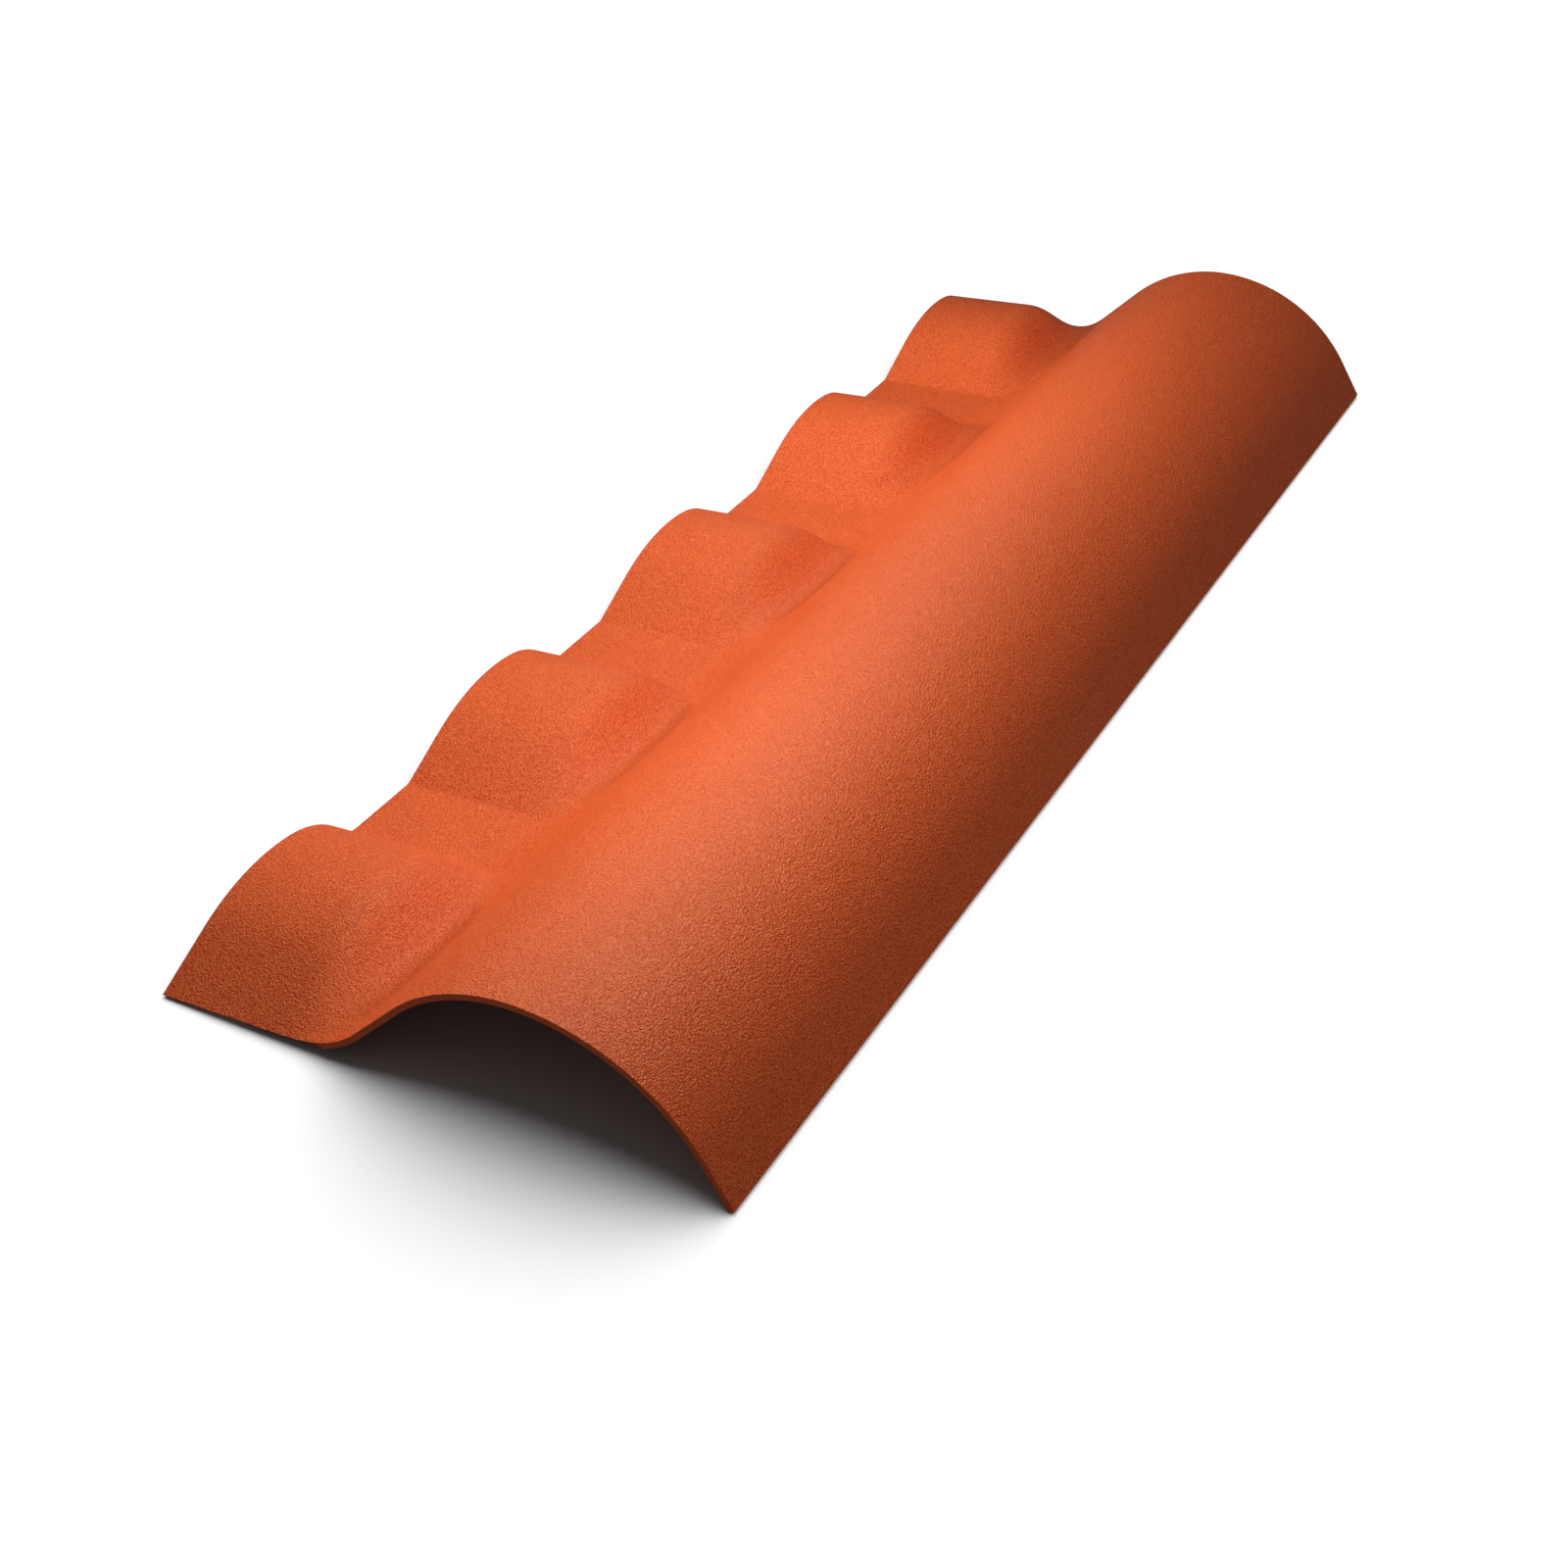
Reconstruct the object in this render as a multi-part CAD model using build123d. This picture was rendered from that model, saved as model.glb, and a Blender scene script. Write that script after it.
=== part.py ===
from build123d import *
from math import asin, cos, hypot, radians, sin, tan
import os

# Ridge cap pressed from one sheet of plastic, for a wave-profile roof.
# X runs across the ridge, from the waved flange to the plain side of the barrel.
# Y runs along the ridge and Z is up. All sizes are in millimetres and degrees.
# The origin is at the middle of the footprint, on the surface that the cap lies on.

# Sheet
wall = 2.8
length = 754.6

# Waves that seat on the roof sheet. Their front side, towards Y zero, is the shallow one.
wave_count = 5
wave_pitch = 160.0
front_to_crest = 70.4
wave_height = 23.0
wave_height_at_barrel = 24.9
crest_radius = 95.0
front_flank_angle = 27.0
front_foot_radius = 8.0
shoulder_angle = 8.5
shoulder_radius = 50.0
back_flank_angle = 48.0
back_foot_radius = 12.0

# Flange, and the ramps on which its waves die out. They end where its bend ends.
flange_width = 64.3
flange_angle = 2.5
ramp_length = 42.8

# Barrel that covers the ridge
bend_radius = 43.0
rise_angle = 45.0
rise_length = 27.7
crown_radius_waved_side = 76.5
crown_radius_plain_side = 88.5
tail_angle = 57.5

# Undercut of the flange's front edge, which laps over the next cap
undercut_angle = 36.0

# How finely the pressed shape is followed
crest_station_count = 12
foot_station_count = 4
ramp_station_count = 8

# Places on the cross-section, worked out from the sizes above
flange_slope = tan(radians(flange_angle))
edge_z = wall / cos(radians(flange_angle))
bend_end = flange_width + bend_radius * (sin(radians(rise_angle)) - sin(radians(flange_angle)))
ramp_start = bend_end - ramp_length
bend_end_z = (
    edge_z
    + flange_width * flange_slope
    + bend_radius * (cos(radians(flange_angle)) - cos(radians(rise_angle)))
)


# One side of a wave: the turn of the crest's arc, the steepest angle and the foot's radius
front_side = (front_flank_angle, front_flank_angle, front_foot_radius)
back_side = (shoulder_angle, back_flank_angle, back_foot_radius)


def side_places(side, inset=0):
    """Distances from the crest where one side of a wave changes its form, and a drop.

    The crest's arc turns first, then the shoulder's arc goes on to the steepest angle,
    a straight flank follows, and the foot's arc ends level in the valley.
    The drop is the one from the crest to the start of the flank.
    An inset of the wall's thickness gives the line of the underside.
    """
    crest_turn, steepest, foot_radius = side
    crest_turn = radians(crest_turn)
    steepest = radians(steepest)
    shoulder = (crest_radius - inset) * sin(crest_turn)
    flank = shoulder + (shoulder_radius - inset) * (sin(steepest) - sin(crest_turn))
    drop = (crest_radius - inset) * (1 - cos(crest_turn))
    drop += (shoulder_radius - inset) * (cos(crest_turn) - cos(steepest))
    foot_rise = (foot_radius + inset) * (1 - cos(steepest))
    foot = flank + (wave_height - drop - foot_rise) / tan(steepest)
    valley = foot + (foot_radius + inset) * sin(steepest)
    return shoulder, flank, drop, foot, valley


def side_section(side, reach, footed, inset):
    """Height and slope down one side of a wave, at a distance from its crest."""
    shoulder, flank, drop, foot, valley = side_places(side, inset)
    steepest = radians(side[1])
    if reach <= shoulder:
        radius = crest_radius - inset
        height = wave_height - crest_radius + (radius**2 - reach**2) ** 0.5
        return height, -tan(asin(reach / radius))
    if reach <= flank:
        radius = shoulder_radius - inset
        turned = sin(steepest) - (flank - reach) / radius
        rise = radius * ((1 - turned**2) ** 0.5 - cos(steepest))
        return wave_height - inset - drop + rise, -tan(asin(turned))
    if reach <= foot or not footed:
        slope = tan(steepest)
        return wave_height - inset - drop - (reach - flank) * slope, -slope
    radius = side[2] + inset
    inward = max(valley - reach, 0.0)
    return side[2] - (radius**2 - inward**2) ** 0.5, -tan(asin(inward / radius))


def wave_section(u, footed=True, inset=0):
    """Height and slope of a wave at a distance u behind its crest, at the free edge."""
    if u > 0:
        return side_section(back_side, u, True, inset)
    height, slope = side_section(front_side, -u, footed, inset)
    return height, -slope


# How far a wave reaches before and behind its crest
front_reach = side_places(front_side)[-1]
back_reach = side_places(back_side)[-1]


def flange_section(x):
    """Height and slope of the upper face between the waves, up to the straight rise."""
    if x <= flange_width:
        return edge_z + x * flange_slope, flange_slope
    turned = sin(radians(flange_angle)) + (x - flange_width) / bend_radius
    climb = bend_radius * (cos(radians(flange_angle)) - (1 - turned**2) ** 0.5)
    return edge_z + flange_width * flange_slope + climb, tan(asin(turned))


def wave_share(x):
    """Share of the wave that is left at x, and how fast it changes."""
    growth = (wave_height_at_barrel / wave_height - 1) / ramp_start
    grown = 1 + growth * x
    if x <= ramp_start:
        return grown, growth
    part = min((x - ramp_start) / ramp_length, 1.0)
    fade = 1 - part**3 * (10 - 15 * part + 6 * part**2)
    fade_slope = -30 * part**2 * (1 - part) ** 2 / ramp_length
    return grown * fade, growth * fade + grown * fade_slope


def sheet_points(x, u, footed):
    """The upper and lower point of the sheet at x, and the direction that it runs in."""
    height = wave_section(u, footed)[0]
    gap = height - wave_section(u, footed, wall)[0]
    share, share_slope = wave_share(x)
    base, base_slope = flange_section(x)
    slope = base_slope + height * share_slope
    steep = hypot(1, slope)
    depth = wall + (gap - wall) * (share / steep) ** 2
    z = base + height * share
    return (x, z), (x + depth * slope / steep, z - depth / steep), (1, slope)


def flange_face(u, footed=True):
    """Section across the flange and its ramp, at a distance u behind a wave's crest."""
    places = [ramp_start] + even_steps(ramp_start, bend_end, ramp_station_count)
    tops, undersides, ways = zip(*[sheet_points(x, u, footed) for x in places])
    edge_top = sheet_points(0, u, footed)[0]
    slope = ways[0][1]
    edge_under = (0, undersides[0][1] - undersides[0][0] * slope)
    outline = Line(edge_top, tops[0])
    outline += Spline(*tops, tangents=(ways[0], ways[-1]))
    outline += Line(tops[-1], undersides[-1])
    outline += Spline(*undersides, tangents=(ways[0], ways[-1]))
    outline += Line(undersides[0], edge_under)
    outline += Line(edge_under, edge_top)
    return make_face(Plane.XZ * outline)


def even_steps(start, end, count):
    return [start + (end - start) * step / count for step in range(1, count + 1)]


def pressed_run(start, end, stations, footed):
    """Stretch of the flange between two distances from a wave's crest."""
    places = [start] + even_steps(start, end, stations)
    return loft([Pos(0, u, 0) * flange_face(u, footed) for u in places])


def wave_block(footed):
    """One wave of the flange with its crest at Y zero.

    Without its foot, the front side runs on straight to the cap's front edge.
    """
    front_flank = side_places(front_side)[1]
    back_flank = side_places(back_side)[1]
    wave = pressed_run(-front_flank, back_flank, crest_station_count, footed)
    wave += pressed_run(back_flank, back_reach, foot_station_count, footed)
    if not footed:
        return wave + pressed_run(-front_to_crest, -front_flank, 1, footed)
    foot = side_places(front_side, wall)[3]
    wave += pressed_run(-foot, -front_flank, 1, footed)
    return wave + pressed_run(-front_reach, -foot, foot_station_count, footed)


def valley_block(start, end):
    """Flat stretch of the flange between two waves."""
    return Pos(0, start, 0) * extrude(flange_face(back_reach), end - start, dir=(0, 1, 0))


def flange_blocks():
    """The flange with all its waves, trimmed to the length of the cap."""
    wave = wave_block(True)
    blocks = [Pos(0, front_to_crest, 0) * wave_block(False)]
    for number in range(1, wave_count):
        crest = front_to_crest + number * wave_pitch
        blocks.append(valley_block(crest - wave_pitch + back_reach, crest - front_reach))
        blocks.append(Pos(0, crest, 0) * wave)
    last_foot = front_to_crest + (wave_count - 1) * wave_pitch + back_reach
    if last_foot < length:
        blocks.append(valley_block(last_foot, length))
    room = Pos(0, length / 2, 0) * Box(4 * bend_end, length, 4 * wave_height_at_barrel)
    return [block & room for block in blocks]


def barrel_line(inset):
    """Line of the barrel, set in by some depth: rise, two crown arcs and the tail."""
    start = Vector(
        bend_end + inset * sin(radians(rise_angle)),
        bend_end_z - inset * cos(radians(rise_angle)),
    )
    rise = PolarLine(start, rise_length, rise_angle)
    waved_crown = crown_arc(rise @ 1, crown_radius_waved_side - inset, rise_angle, 0)
    plain_crown = crown_arc(waved_crown @ 1, crown_radius_plain_side - inset, 0, -tail_angle)
    tail = PolarLine(plain_crown @ 1, tail_length(), -tail_angle)
    return rise + waved_crown + plain_crown + tail


def crown_arc(start, radius, from_angle, to_angle):
    """Arc that bends over from one slope to another."""
    across = radius * (sin(radians(from_angle)) - sin(radians(to_angle)))
    up = radius * (cos(radians(to_angle)) - cos(radians(from_angle)))
    heading = (cos(radians(from_angle)), sin(radians(from_angle)))
    return TangentArc(start, start + Vector(across, up), tangent=heading)


def tail_length():
    """Length that brings the lower corner of the tail down to the floor."""
    apex_z = (
        bend_end_z
        + rise_length * sin(radians(rise_angle))
        + crown_radius_waved_side * (1 - cos(radians(rise_angle)))
    )
    tail_top = apex_z - crown_radius_plain_side * (1 - cos(radians(tail_angle)))
    return (tail_top - wall * cos(radians(tail_angle))) / sin(radians(tail_angle))


def barrel_block():
    """The barrel, at the full length of the cap."""
    over = barrel_line(0)
    under = barrel_line(wall)
    outline = over + Line(over @ 1, under @ 1) + under + Line(under @ 0, over @ 0)
    return extrude(make_face(Plane.XZ * outline), length, dir=(0, 1, 0))


def front_undercut():
    """What is cut from below the flange's front edge, up to its upper corner.

    It takes all that lies below the level underside, and a slanting undercut.
    """
    corner = edge_z + wave_section(-front_to_crest, False)[0]
    shelf = 2 * wall / tan(radians(front_flank_angle))
    undercut = corner / tan(radians(undercut_angle))
    outline = Polyline(
        (-wall, corner),
        (0, corner),
        (undercut, 0),
        (shelf, 0),
        (shelf, -2 * wall),
        (-wall, -2 * wall),
        close=True,
    )
    wedge = extrude(make_face(Plane.YZ * outline), bend_end + wall, dir=(1, 0, 0))
    return Rot(0, -flange_angle, 0) * Pos(-wall, 0, 0) * wedge


def ridge_cap():
    """The whole cap, one pressed sheet, with its footprint centred on the origin."""
    sheet = barrel_block()
    for block in flange_blocks():
        sheet += block
    sheet -= front_undercut()
    box = sheet.bounding_box()
    return Pos(-box.center().X, -box.center().Y, 0) * sheet


os.makedirs("parts", exist_ok=True)
cap = ridge_cap()
print("solids", len(cap.solids()), "volume", round(cap.volume), "faces", len(cap.faces()))
export_step(cap, "parts/ridge_cap.step")
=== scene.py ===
from math import radians

import bpy
import numpy as np
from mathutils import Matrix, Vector


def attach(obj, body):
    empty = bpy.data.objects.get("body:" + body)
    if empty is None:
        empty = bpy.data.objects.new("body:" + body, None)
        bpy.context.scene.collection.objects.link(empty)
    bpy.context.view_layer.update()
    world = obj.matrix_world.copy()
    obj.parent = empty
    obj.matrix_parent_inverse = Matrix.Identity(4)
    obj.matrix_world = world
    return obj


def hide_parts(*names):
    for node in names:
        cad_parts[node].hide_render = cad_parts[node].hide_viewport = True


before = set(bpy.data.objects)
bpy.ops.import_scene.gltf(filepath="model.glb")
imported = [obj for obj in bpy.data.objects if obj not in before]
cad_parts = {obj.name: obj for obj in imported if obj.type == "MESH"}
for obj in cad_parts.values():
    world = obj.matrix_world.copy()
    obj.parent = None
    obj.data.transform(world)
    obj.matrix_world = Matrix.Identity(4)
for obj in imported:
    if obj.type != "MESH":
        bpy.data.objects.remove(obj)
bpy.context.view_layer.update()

# Ridge cap.
# The real piece is one sheet of terracotta-coloured plastic, pressed hot into a barrel with
# a waved flange. Rollers emboss its skin with a fine leather grain, and its edges are sawn.
MM = 0.001
wall, length = 2.8, 754.6
wave_count, wave_pitch, front_to_crest = 5, 160.0, 70.4
wave_height, height_at_barrel, crest_radius = 23.0, 24.9, 95.0
front_flank, front_foot_radius = radians(27.0), 8.0
shoulder_turn, shoulder_radius = radians(8.5), 50.0
back_flank, back_foot_radius = radians(48.0), 12.0
flange_width, flange_turn = 64.3, radians(2.5)
ramp_length = 42.8
bend_radius, rise_turn, rise_length = 43.0, radians(45.0), 27.7
waved_crown_radius, plain_crown_radius, tail_turn = 76.5, 88.5, radians(57.5)
undercut = radians(36.0)


def side_section(reach, turn, steepest, foot_radius, inset):
    """Height of one side of a wave at distances from its crest, and where the side ends."""
    shoulder = (crest_radius - inset) * np.sin(turn)
    flank = shoulder + (shoulder_radius - inset) * (np.sin(steepest) - np.sin(turn))
    drop = (crest_radius - inset) * (1 - np.cos(turn))
    drop += (shoulder_radius - inset) * (np.cos(turn) - np.cos(steepest))
    foot_rise = (foot_radius + inset) * (1 - np.cos(steepest))
    foot = flank + (wave_height - drop - foot_rise) / np.tan(steepest)
    valley = foot + (foot_radius + inset) * np.sin(steepest)
    crest_arc = np.sqrt((crest_radius - inset) ** 2 - np.minimum(reach, shoulder) ** 2)
    turned = np.sin(steepest) - (flank - reach) / (shoulder_radius - inset)
    shoulder_arc = np.sqrt(1 - np.clip(turned, -1, 1) ** 2) - np.cos(steepest)
    straight = wave_height - inset - drop - (reach - flank) * np.tan(steepest)
    inward = np.clip(valley - reach, 0, valley - foot)
    foot_arc = np.sqrt((foot_radius + inset) ** 2 - inward**2)
    heights = np.select(
        [reach <= shoulder, reach <= flank, reach <= foot],
        [
            wave_height - crest_radius + crest_arc,
            wave_height - inset - drop + (shoulder_radius - inset) * shoulder_arc,
            straight,
        ],
        foot_radius - foot_arc,
    )
    return heights, straight, (flank, foot, valley)


front_side = (front_flank, front_flank, front_foot_radius)
back_side = (shoulder_turn, back_flank, back_foot_radius)
front_marks = side_section(np.zeros(1), *front_side, 0)[2]
back_marks = side_section(np.zeros(1), *back_side, 0)[2]


def wave_heights(y, inset):
    """Height of the waves above the valleys along the free edge of the flange."""
    between = (back_marks[2] + wave_pitch - front_marks[2]) / 2
    number = np.clip(np.floor((y - front_to_crest - between) / wave_pitch) + 1, 0, wave_count - 1)
    u = y - front_to_crest - number * wave_pitch
    before, straight, _ = side_section(np.maximum(-u, 0), *front_side, inset)
    behind = side_section(np.maximum(u, 0), *back_side, inset)[0]
    before = np.where(number == 0, np.where(-u > front_marks[0], straight, before), before)
    return np.where(u < 0, before, behind)


# Rows of points along the ridge, closer together where a wave bends
valley_steps, front_foot_steps, front_flank_steps = 5, 4, 8
crest_steps, back_foot_steps = 40, 9
last_row_room = 0.3
rows = [np.zeros(1)]
for number in range(wave_count):
    crest = front_to_crest + number * wave_pitch
    flank, foot, valley = front_marks
    if number:
        rows.append(np.linspace(rows[-1][-1], crest - valley, valley_steps + 1)[1:])
        rows.append(np.linspace(crest - valley, crest - foot, front_foot_steps + 1)[1:])
    rows.append(np.linspace(rows[-1][-1], crest - flank, front_flank_steps + 1)[1:])
    flank, foot, valley = back_marks
    rows.append(np.linspace(crest - front_marks[0], crest + flank, crest_steps + 1)[1:])
    rows.append(np.linspace(crest + flank, crest + valley, back_foot_steps + 1)[1:])
rows = np.concatenate(rows)
rows = np.append(rows[rows < length - last_row_room], length)

# Columns across the flange and its bend
flange_steps, ramp_columns = 11, 40
bend_end = flange_width + bend_radius * (np.sin(rise_turn) - np.sin(flange_turn))
ramp_start = bend_end - ramp_length
x = np.concatenate([
    np.linspace(0, ramp_start, flange_steps + 1)[:-1],
    np.linspace(ramp_start, bend_end, ramp_columns),
])[:, None]
turned = np.sin(flange_turn) + np.maximum(x - flange_width, 0) / bend_radius
base = wall / np.cos(flange_turn) + np.minimum(x, flange_width) * np.tan(flange_turn)
base = base + bend_radius * (np.cos(flange_turn) - np.sqrt(1 - turned**2))
base_slope = turned / np.sqrt(1 - turned**2)
growth = (height_at_barrel / wave_height - 1) / ramp_start
part = np.maximum(x - ramp_start, 0) / ramp_length
fade = 1 - part**3 * (10 - 15 * part + 6 * part**2)
fade_slope = -30 * part**2 * (1 - part) ** 2 / ramp_length
share = (1 + growth * x) * fade
share_slope = growth * fade + (1 + growth * x) * fade_slope

heights = wave_heights(rows, 0)[None, :]
gap = heights - wave_heights(rows, wall)[None, :]
slope = base_slope + heights * share_slope
steep = np.hypot(1, slope)
depth = wall + (gap - wall) * (share / steep) ** 2
z = base + heights * share
upper_x = np.broadcast_to(x, z.shape)
# The free edge is cut upright, so the underside there is drawn back to it
edge_reach = 20
lower_x = x + depth * slope / steep
lower_x = lower_x - lower_x[0] * (1 - np.minimum(x / edge_reach, 1))
lower_z = z - depth / steep

# Columns of the barrel: rise, the two crown arcs and the tail
rise_steps, waved_crown_steps, plain_crown_steps, tail_steps = 4, 18, 24, 6
turns = np.concatenate([
    np.full(rise_steps + 1, rise_turn),
    np.linspace(rise_turn, 0, waved_crown_steps + 1)[1:],
    np.linspace(0, -tail_turn, plain_crown_steps + 1)[1:],
])
radii = np.concatenate([
    np.full(rise_steps + waved_crown_steps, waved_crown_radius),
    np.full(plain_crown_steps, plain_crown_radius),
])
barrel = [np.array([bend_end, z[-1, 0]])]
rise_step = rise_length / rise_steps
for index in range(1, len(turns)):
    before, after = turns[index - 1], turns[index]
    if before == after:
        step = rise_step * np.array([np.cos(after), np.sin(after)])
    else:
        step = radii[index - 1] * np.array([
            np.sin(before) - np.sin(after), np.cos(after) - np.cos(before)
        ])
    barrel.append(barrel[-1] + step)
tail = (barrel[-1][1] - wall * np.cos(tail_turn)) / np.sin(tail_turn)
for index in range(tail_steps):
    turns = np.append(turns, -tail_turn)
    step = tail / tail_steps * np.array([np.cos(tail_turn), -np.sin(tail_turn)])
    barrel.append(barrel[-1] + step)
barrel = np.array(barrel)[1:]
turns = turns[1:, None]
along = np.ones((1, len(rows)))
upper_x = np.vstack([upper_x, barrel[:, :1] * along])
z = np.vstack([z, barrel[:, 1:] * along])
lower_x = np.vstack([lower_x, (barrel[:, :1] + wall * np.sin(turns)) * along])
lower_z = np.vstack([lower_z, (barrel[:, 1:] - wall * np.cos(turns)) * along])

# The flange's front edge is cut back below its upper corner, over the first rows only
front_rows_reach, cut_reach = 20, 12
level = lower_x * np.tan(flange_turn)
near = lower_x < flange_width + bend_radius
lower_z = np.where(near & (rows[None, :] < front_rows_reach), np.maximum(lower_z, level), lower_z)
corner = z[0, 0] + (z[flange_steps, 0] - z[0, 0]) / ramp_start * lower_x[:, :1]
cut_back = np.maximum(corner - lower_z[:, :1], 0) / np.tan(undercut)
cut_back = np.where(near[:, :1], cut_back, 0)
upper_y = np.broadcast_to(rows[None, :], z.shape)
lower_y = upper_y + cut_back * np.maximum(1 - upper_y / cut_reach, 0)

middle = np.array([upper_x.max() / 2, length / 2, 0])
upper = (np.stack([upper_x, upper_y, z], -1) - middle) * MM
lower = (np.stack([lower_x, lower_y, lower_z], -1) - middle) * MM
across, long = z.shape
points = np.concatenate([upper.reshape(-1, 3), lower.reshape(-1, 3)])
index = np.arange(across * long).reshape(across, long)


def strips(first, second):
    """Quads between two lines of points."""
    return np.stack([first[:-1], first[1:], second[1:], second[:-1]], -1).reshape(-1, 4)


under = index + across * long
skins = np.concatenate([
    strips(index[i], index[i + 1])[:, ::-1] for i in range(across - 1)
] + [
    strips(under[i], under[i + 1]) for i in range(across - 1)
])
rims = np.concatenate([
    strips(index[0], under[0]),
    strips(index[-1], under[-1])[:, ::-1],
    strips(index[:, 0], under[:, 0])[:, ::-1],
    strips(index[:, -1], under[:, -1]),
])
mesh = bpy.data.meshes.new("ridge_cap_sheet")
mesh.from_pydata(points.tolist(), [], np.concatenate([skins, rims]).tolist())
mesh.update()
cap = bpy.data.objects.new("ridge_cap_sheet", mesh)
bpy.context.scene.collection.objects.link(cap)
mesh.polygons.foreach_set("use_smooth", [True] * len(mesh.polygons))
cut = mesh.attributes.new("cut_edge", "FLOAT", "FACE")
cut.data.foreach_set("value", [0.0] * len(skins) + [1.0] * len(rims))
upper_skin = mesh.attributes.new("embossed", "FLOAT", "FACE")
upper_count = (across - 1) * (long - 1)
upper_skin.data.foreach_set(
    "value", [1.0] * upper_count + [0.0] * (len(skins) + len(rims) - upper_count)
)
rim_softening = 0.3
bevel = cap.modifiers.new("softened_rims", "BEVEL")
bevel.width = rim_softening * MM
bevel.segments = 2
bevel.angle_limit = radians(45)
bevel.harden_normals = True

plastic = bpy.data.materials.new("terracotta_plastic")
plastic.use_nodes = True
nodes, links = plastic.node_tree.nodes, plastic.node_tree.links
shader = nodes["Principled BSDF"]
shader.inputs["Specular IOR Level"].default_value = 0.6
shader.inputs["Specular Tint"].default_value = (1.0, 0.68, 0.42, 1)
place = nodes.new("ShaderNodeTexCoord").outputs["Object"]


def noise(scale, detail, roughness=0.5):
    node = nodes.new("ShaderNodeTexNoise")
    links.new(place, node.inputs["Vector"])
    node.inputs["Scale"].default_value = scale
    node.inputs["Detail"].default_value = detail
    node.inputs["Roughness"].default_value = roughness
    return node.outputs["Fac"]


def ramp(value, low, high, to_low=0.0, to_high=1.0):
    node = nodes.new("ShaderNodeMapRange")
    links.new(value, node.inputs["Value"])
    node.inputs["From Min"].default_value = low
    node.inputs["From Max"].default_value = high
    node.inputs["To Min"].default_value = to_low
    node.inputs["To Max"].default_value = to_high
    return node.outputs["Result"]


def mix(share, first, second):
    node = nodes.new("ShaderNodeMix")
    node.data_type = "RGBA"
    sockets = (node.inputs[0], node.inputs[6], node.inputs[7])
    for value, socket in zip((share, first, second), sockets):
        if isinstance(value, bpy.types.NodeSocket):
            links.new(value, socket)
        else:
            socket.default_value = value
    return node.outputs[2]


def attribute(name):
    node = nodes.new("ShaderNodeAttribute")
    node.attribute_name = name
    return node.outputs["Fac"]


def times(first, second):
    node = nodes.new("ShaderNodeMath")
    node.operation = "MULTIPLY"
    links.new(first, node.inputs[0])
    if isinstance(second, float):
        node.inputs[1].default_value = second
    else:
        links.new(second, node.inputs[1])
    return node.outputs["Value"]


# Skin between the wrinkles, the wrinkles from pit to peak with painted shade in the pits and a
# painted sheen on the peaks, and the sawn rims
embossed = attribute("embossed")
cut_edge = attribute("cut_edge")
grain = noise(1250, 1.5, 0.5)
blotches = noise(9, 3)
skin = mix(ramp(blotches, 0.3, 0.7), (0.74, 0.109, 0.025, 1), (0.79, 0.125, 0.030, 1))
# Darker pits are painted shade and lighter, paler peaks are a painted sheen; the grain pattern
# itself is real
grain_with_painted_shade_and_sheen = mix(ramp(grain, 0.36, 0.62), (0.64, 0.050, 0.007, 1), (0.95, 0.190, 0.050, 1))
colour = mix(times(embossed, 0.85), skin, grain_with_painted_shade_and_sheen)
colour = mix(cut_edge, colour, (0.60, 0.095, 0.028, 1))
links.new(colour, shader.inputs["Base Color"])
links.new(ramp(noise(60, 3), 0.3, 0.7, 0.36, 0.44), shader.inputs["Roughness"])
bump = nodes.new("ShaderNodeBump")
bump.inputs["Strength"].default_value = 1.0
bump.inputs["Distance"].default_value = 0.0009
links.new(times(grain, embossed), bump.inputs["Height"])
links.new(bump.outputs["Normal"], shader.inputs["Normal"])
mesh.materials.append(plastic)
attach(cap, "root")
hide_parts("ridge_cap")

# Camera, set where the photograph was taken from.
# A normal lens looks down over the plain side of the barrel from beyond its front end.
camera_data = bpy.data.cameras.new("camera")
camera_data.sensor_width = 36.0
camera_data.lens = 52.99
camera = bpy.data.objects.new("camera", camera_data)
camera.location = (0.4091, -0.8778, 0.5692)
camera.rotation_euler = (radians(90 - 34.13), 0, radians(27.79))
bpy.context.scene.collection.objects.link(camera)
bpy.context.scene.camera = camera
bpy.context.scene.view_settings.view_transform = "Standard"

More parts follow.
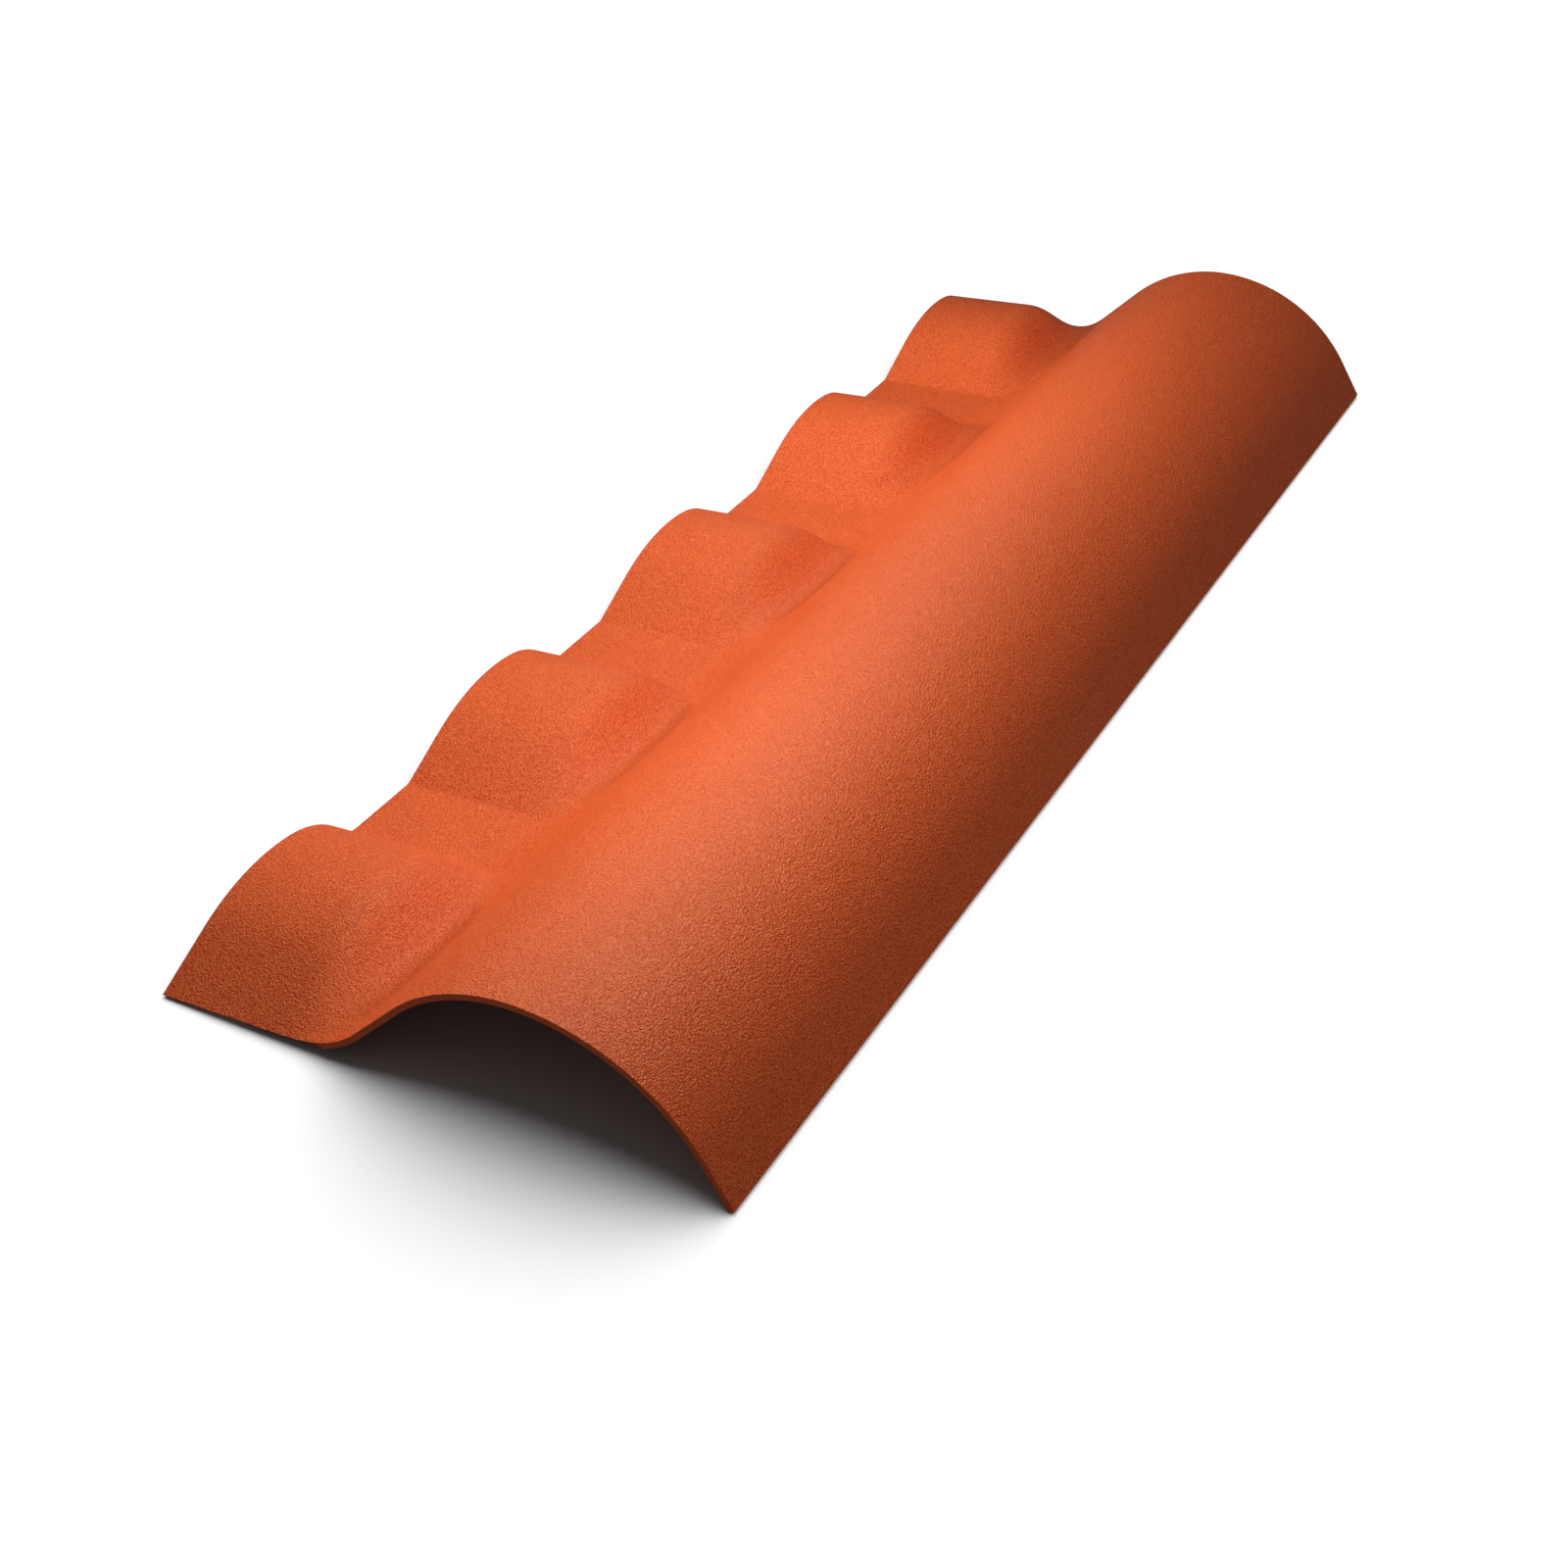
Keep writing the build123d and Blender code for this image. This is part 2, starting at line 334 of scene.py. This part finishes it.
# Studio.
# A white floor with a wide light of its own, which comes from behind and lays the shadow,
# and lamps for the cap alone, which leave its front waves and its plain side darker.
mesh = bpy.data.meshes.new("floor")
mesh.from_pydata([(-6, -6, 0), (6, -6, 0), (6, 6, 0), (-6, 6, 0)], [], [(0, 1, 2, 3)])
floor = bpy.data.objects.new("floor", mesh)
bpy.context.scene.collection.objects.link(floor)
white = bpy.data.materials.new("white_floor")
white.use_nodes = True
nodes, links = white.node_tree.nodes, white.node_tree.links
shader = nodes["Principled BSDF"]
shader.inputs["Roughness"].default_value = 1.0
shader.inputs["Specular IOR Level"].default_value = 0.0
seen = nodes.new("ShaderNodeLightPath").outputs["Is Camera Ray"]
links.new(mix(seen, (0.08, 0.08, 0.08, 1), (0.9, 0.9, 0.9, 1)), shader.inputs["Base Color"])
mesh.materials.append(white)

world = bpy.data.worlds.new("studio")
world.use_nodes = True
nodes, links = world.node_tree.nodes, world.node_tree.links
seen = nodes.new("ShaderNodeLightPath").outputs["Is Camera Ray"]
links.new(ramp(seen, 0, 1, 0.08, 1.0), nodes["Background"].inputs["Strength"])
nodes["Background"].inputs["Color"].default_value = (1, 1, 1, 1)
bpy.context.scene.world = world

on_cap = bpy.data.collections.new("lit_cap")
on_cap.objects.link(cap)
on_floor = bpy.data.collections.new("lit_floor")
on_floor.objects.link(floor)


def lamp(name, place, size, power, lit, kind="POINT", in_sheen=False):
    """Lamp aimed at the cap, lighting one collection and seen in its sheen or not."""
    data = bpy.data.lights.new(name, kind)
    data.energy = power
    if kind == "AREA":
        data.shape = "DISK"
        data.size = size
    elif kind == "SUN":
        data.angle = size
    else:
        data.shadow_soft_size = size
    item = bpy.data.objects.new(name, data)
    item.location = place
    item.rotation_euler = (-Vector(place)).to_track_quat("-Z", "Y").to_euler()
    item.visible_camera = False
    item.visible_glossy = in_sheen
    item.light_linking.receiver_collection = lit
    bpy.context.scene.collection.objects.link(item)


lamp("floor_light", (-0.1, 1.1, 1.6), radians(94), 4.5, on_floor, "SUN")
lamp("low_left", (-0.708, -0.022, 0.18), 0.08, 8.3, on_cap)
lamp("near_front", (-0.026, -0.209, 0.321), 0.05, 2.6, on_cap, in_sheen=True)
lamp("near_back", (-0.088, 0.147, 0.31), 0.05, 2.35, on_cap, in_sheen=True)
lamp("right_fill", (2.0, 0.0, 0.9), 2.0, 6.5, on_cap, "AREA")
lamp("front_fill", (0.2, -2.6, 0.5), 1.0, 4.0, on_cap, "AREA")
